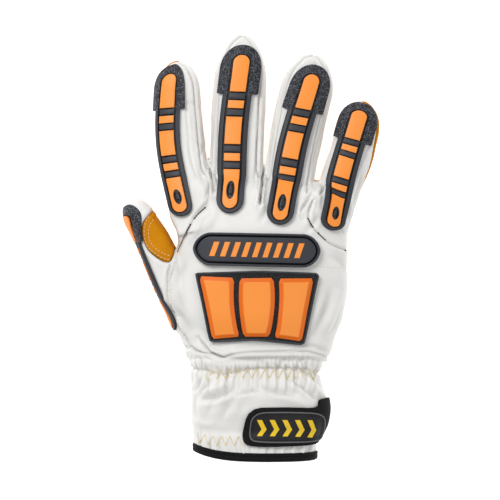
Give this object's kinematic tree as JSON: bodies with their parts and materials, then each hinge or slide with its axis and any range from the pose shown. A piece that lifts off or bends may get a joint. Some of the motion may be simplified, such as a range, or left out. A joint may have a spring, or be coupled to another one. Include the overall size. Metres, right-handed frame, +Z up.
{
  "type": "impact glove",
  "caption": "Right-hand impact work glove in leather, palm down, with moulded guards over fingers, thumb, knuckles and back, a gathered wrist, a bound cuff and a wrist strap.",
  "frame": {"origin": "on the flat underside of the palm, where the glove rests", "axes": "+Z up from the surface through the back of the hand, +Y towards the fingertips, +X towards the little finger"},
  "size_m": [0.1544, 0.2546, 0.0412],
  "materials": {
    "pearl_leather": "soft white grain leather",
    "gold_leather": "golden grain leather",
    "dark_rubber": "satin moulded rubber, granular at the fingertips",
    "orange_rubber": "satin moulded rubber",
    "black_binding": "woven edge tape",
    "black_strap": "hook-and-loop strap",
    "label_rubber": "matt moulded label"
  },
  "bodies": {
    "root": {"hand_back": "pearl_leather", "index_back": "pearl_leather", "middle_back": "pearl_leather", "ring_back": "pearl_leather", "little_back": "pearl_leather", "fourchette_index_middle": "pearl_leather", "fourchette_middle_ring": "pearl_leather", "fourchette_ring_little": "pearl_leather", "palm_panel": "gold_leather", "index_front": "gold_leather", "middle_front": "gold_leather", "ring_front": "gold_leather", "little_front": "gold_leather", "thumb_back": "pearl_leather", "thumb_palm": "gold_leather", "cuff_back": "pearl_leather", "cuff_palm": "pearl_leather", "cuff_binding": "black_binding", "wrist_strap": "black_strap", "strap_label": "label_rubber", "index_guard": "dark_rubber", "index_block_tip": "orange_rubber", "index_block_upper": "orange_rubber", "index_block_middle": "orange_rubber", "index_block_lower": "orange_rubber", "index_block_base": "orange_rubber", "middle_guard": "dark_rubber", "middle_block_tip": "orange_rubber", "middle_block_upper": "orange_rubber", "middle_block_middle": "orange_rubber", "middle_block_lower": "orange_rubber", "middle_block_base": "orange_rubber", "ring_guard": "dark_rubber", "ring_block_tip": "orange_rubber", "ring_block_upper": "orange_rubber", "ring_block_middle": "orange_rubber", "ring_block_lower": "orange_rubber", "ring_block_base": "orange_rubber", "little_guard": "dark_rubber", "little_block_tip": "orange_rubber", "little_block_upper": "orange_rubber", "little_block_middle": "orange_rubber", "little_block_lower": "orange_rubber", "little_block_base": "orange_rubber", "thumb_guard": "dark_rubber", "thumb_block_tip": "orange_rubber", "thumb_block_upper": "orange_rubber", "thumb_block_middle": "orange_rubber", "thumb_block_lower": "orange_rubber", "thumb_block_base": "orange_rubber", "knuckle_guard": "dark_rubber", "shield_frame": "dark_rubber", "shield_pad_left": "orange_rubber", "shield_pad_middle": "orange_rubber", "shield_pad_right": "orange_rubber"}
  },
  "joints": []
}
